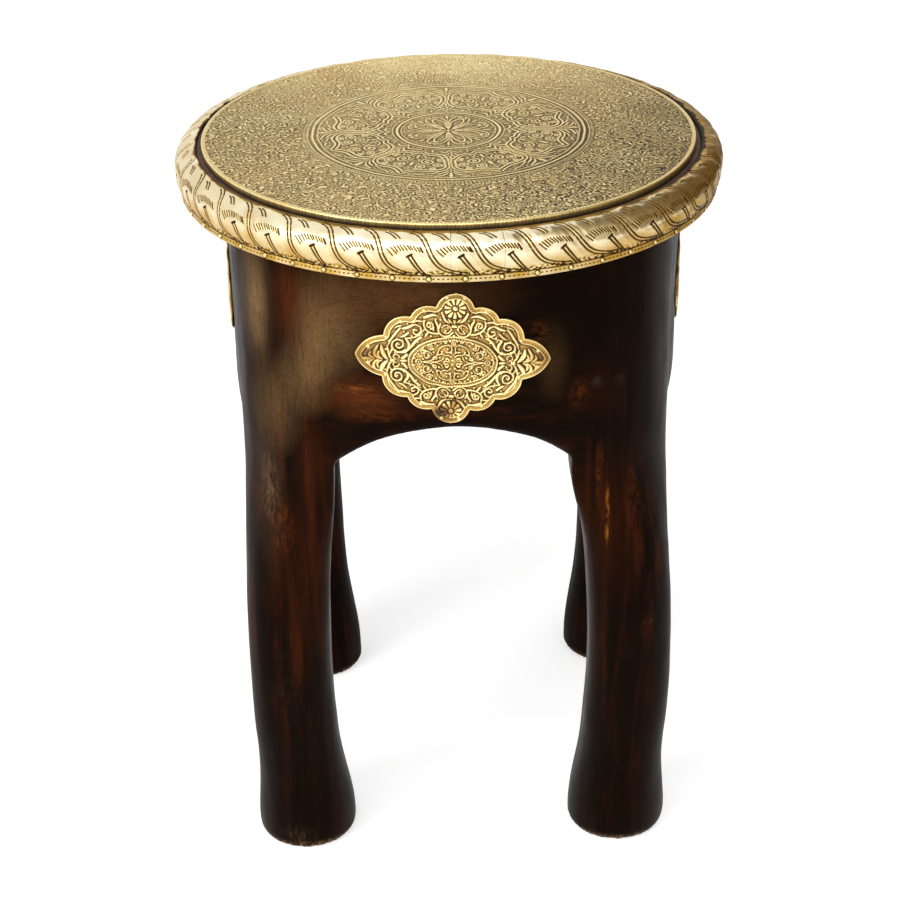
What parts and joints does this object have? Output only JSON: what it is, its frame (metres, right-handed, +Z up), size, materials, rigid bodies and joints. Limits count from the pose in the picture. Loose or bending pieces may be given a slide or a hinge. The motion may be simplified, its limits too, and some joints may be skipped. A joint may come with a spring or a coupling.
{
  "type": "round stool",
  "caption": "Low round stool with embossed brass seat, bullnosed brass rim, carved dark wood legs, arched aprons and brass medallions.",
  "frame": {"origin": "on the floor, under the middle of the seat", "axes": "+Z up, the front that the picture shows faces -Y, +X to the right in the picture"},
  "size_m": [0.3052, 0.3052, 0.404],
  "materials": {
    "seat_brass": "all-over embossed sheet, dark patina in the recesses, worn bright on the raised lines",
    "rim_brass": "embossed sheet bent over the edge, browned towards the nailed flange",
    "medallion_brass": "embossed sheet, bright relief over brown recesses",
    "pin_brass": "small domed heads, worn",
    "leg_wood": "hand carved, dark walnut stain under satin lacquer, reddish where worn",
    "apron_wood": "hand carved, dark walnut stain under satin lacquer, grain along the apron",
    "board_wood": "stained board, open grain underneath",
    "dowel_wood": "plain hardwood dowel",
    "screw_steel": "plain countersunk wood screw"
  },
  "bodies": {
    "root": {"brass_top_sheet": "seat_brass", "seat_disc": "board_wood", "top_board": "board_wood", "rim_cladding": "rim_brass", "rim_closing_strip": "rim_brass", "rim_pins": "pin_brass", "leg_screws": "screw_steel", "apron_screws": "screw_steel", "joint_dowels": "dowel_wood", "leg_front_left": "leg_wood", "leg_front_right": "leg_wood", "leg_back_left": "leg_wood", "leg_back_right": "leg_wood", "apron_front": "apron_wood", "medallion_front": "medallion_brass", "medallion_pins_front": "pin_brass", "apron_right": "apron_wood", "medallion_right": "medallion_brass", "medallion_pins_right": "pin_brass", "apron_back": "apron_wood", "medallion_back": "medallion_brass", "medallion_pins_back": "pin_brass", "apron_left": "apron_wood", "medallion_left": "medallion_brass", "medallion_pins_left": "pin_brass"}
  },
  "joints": []
}
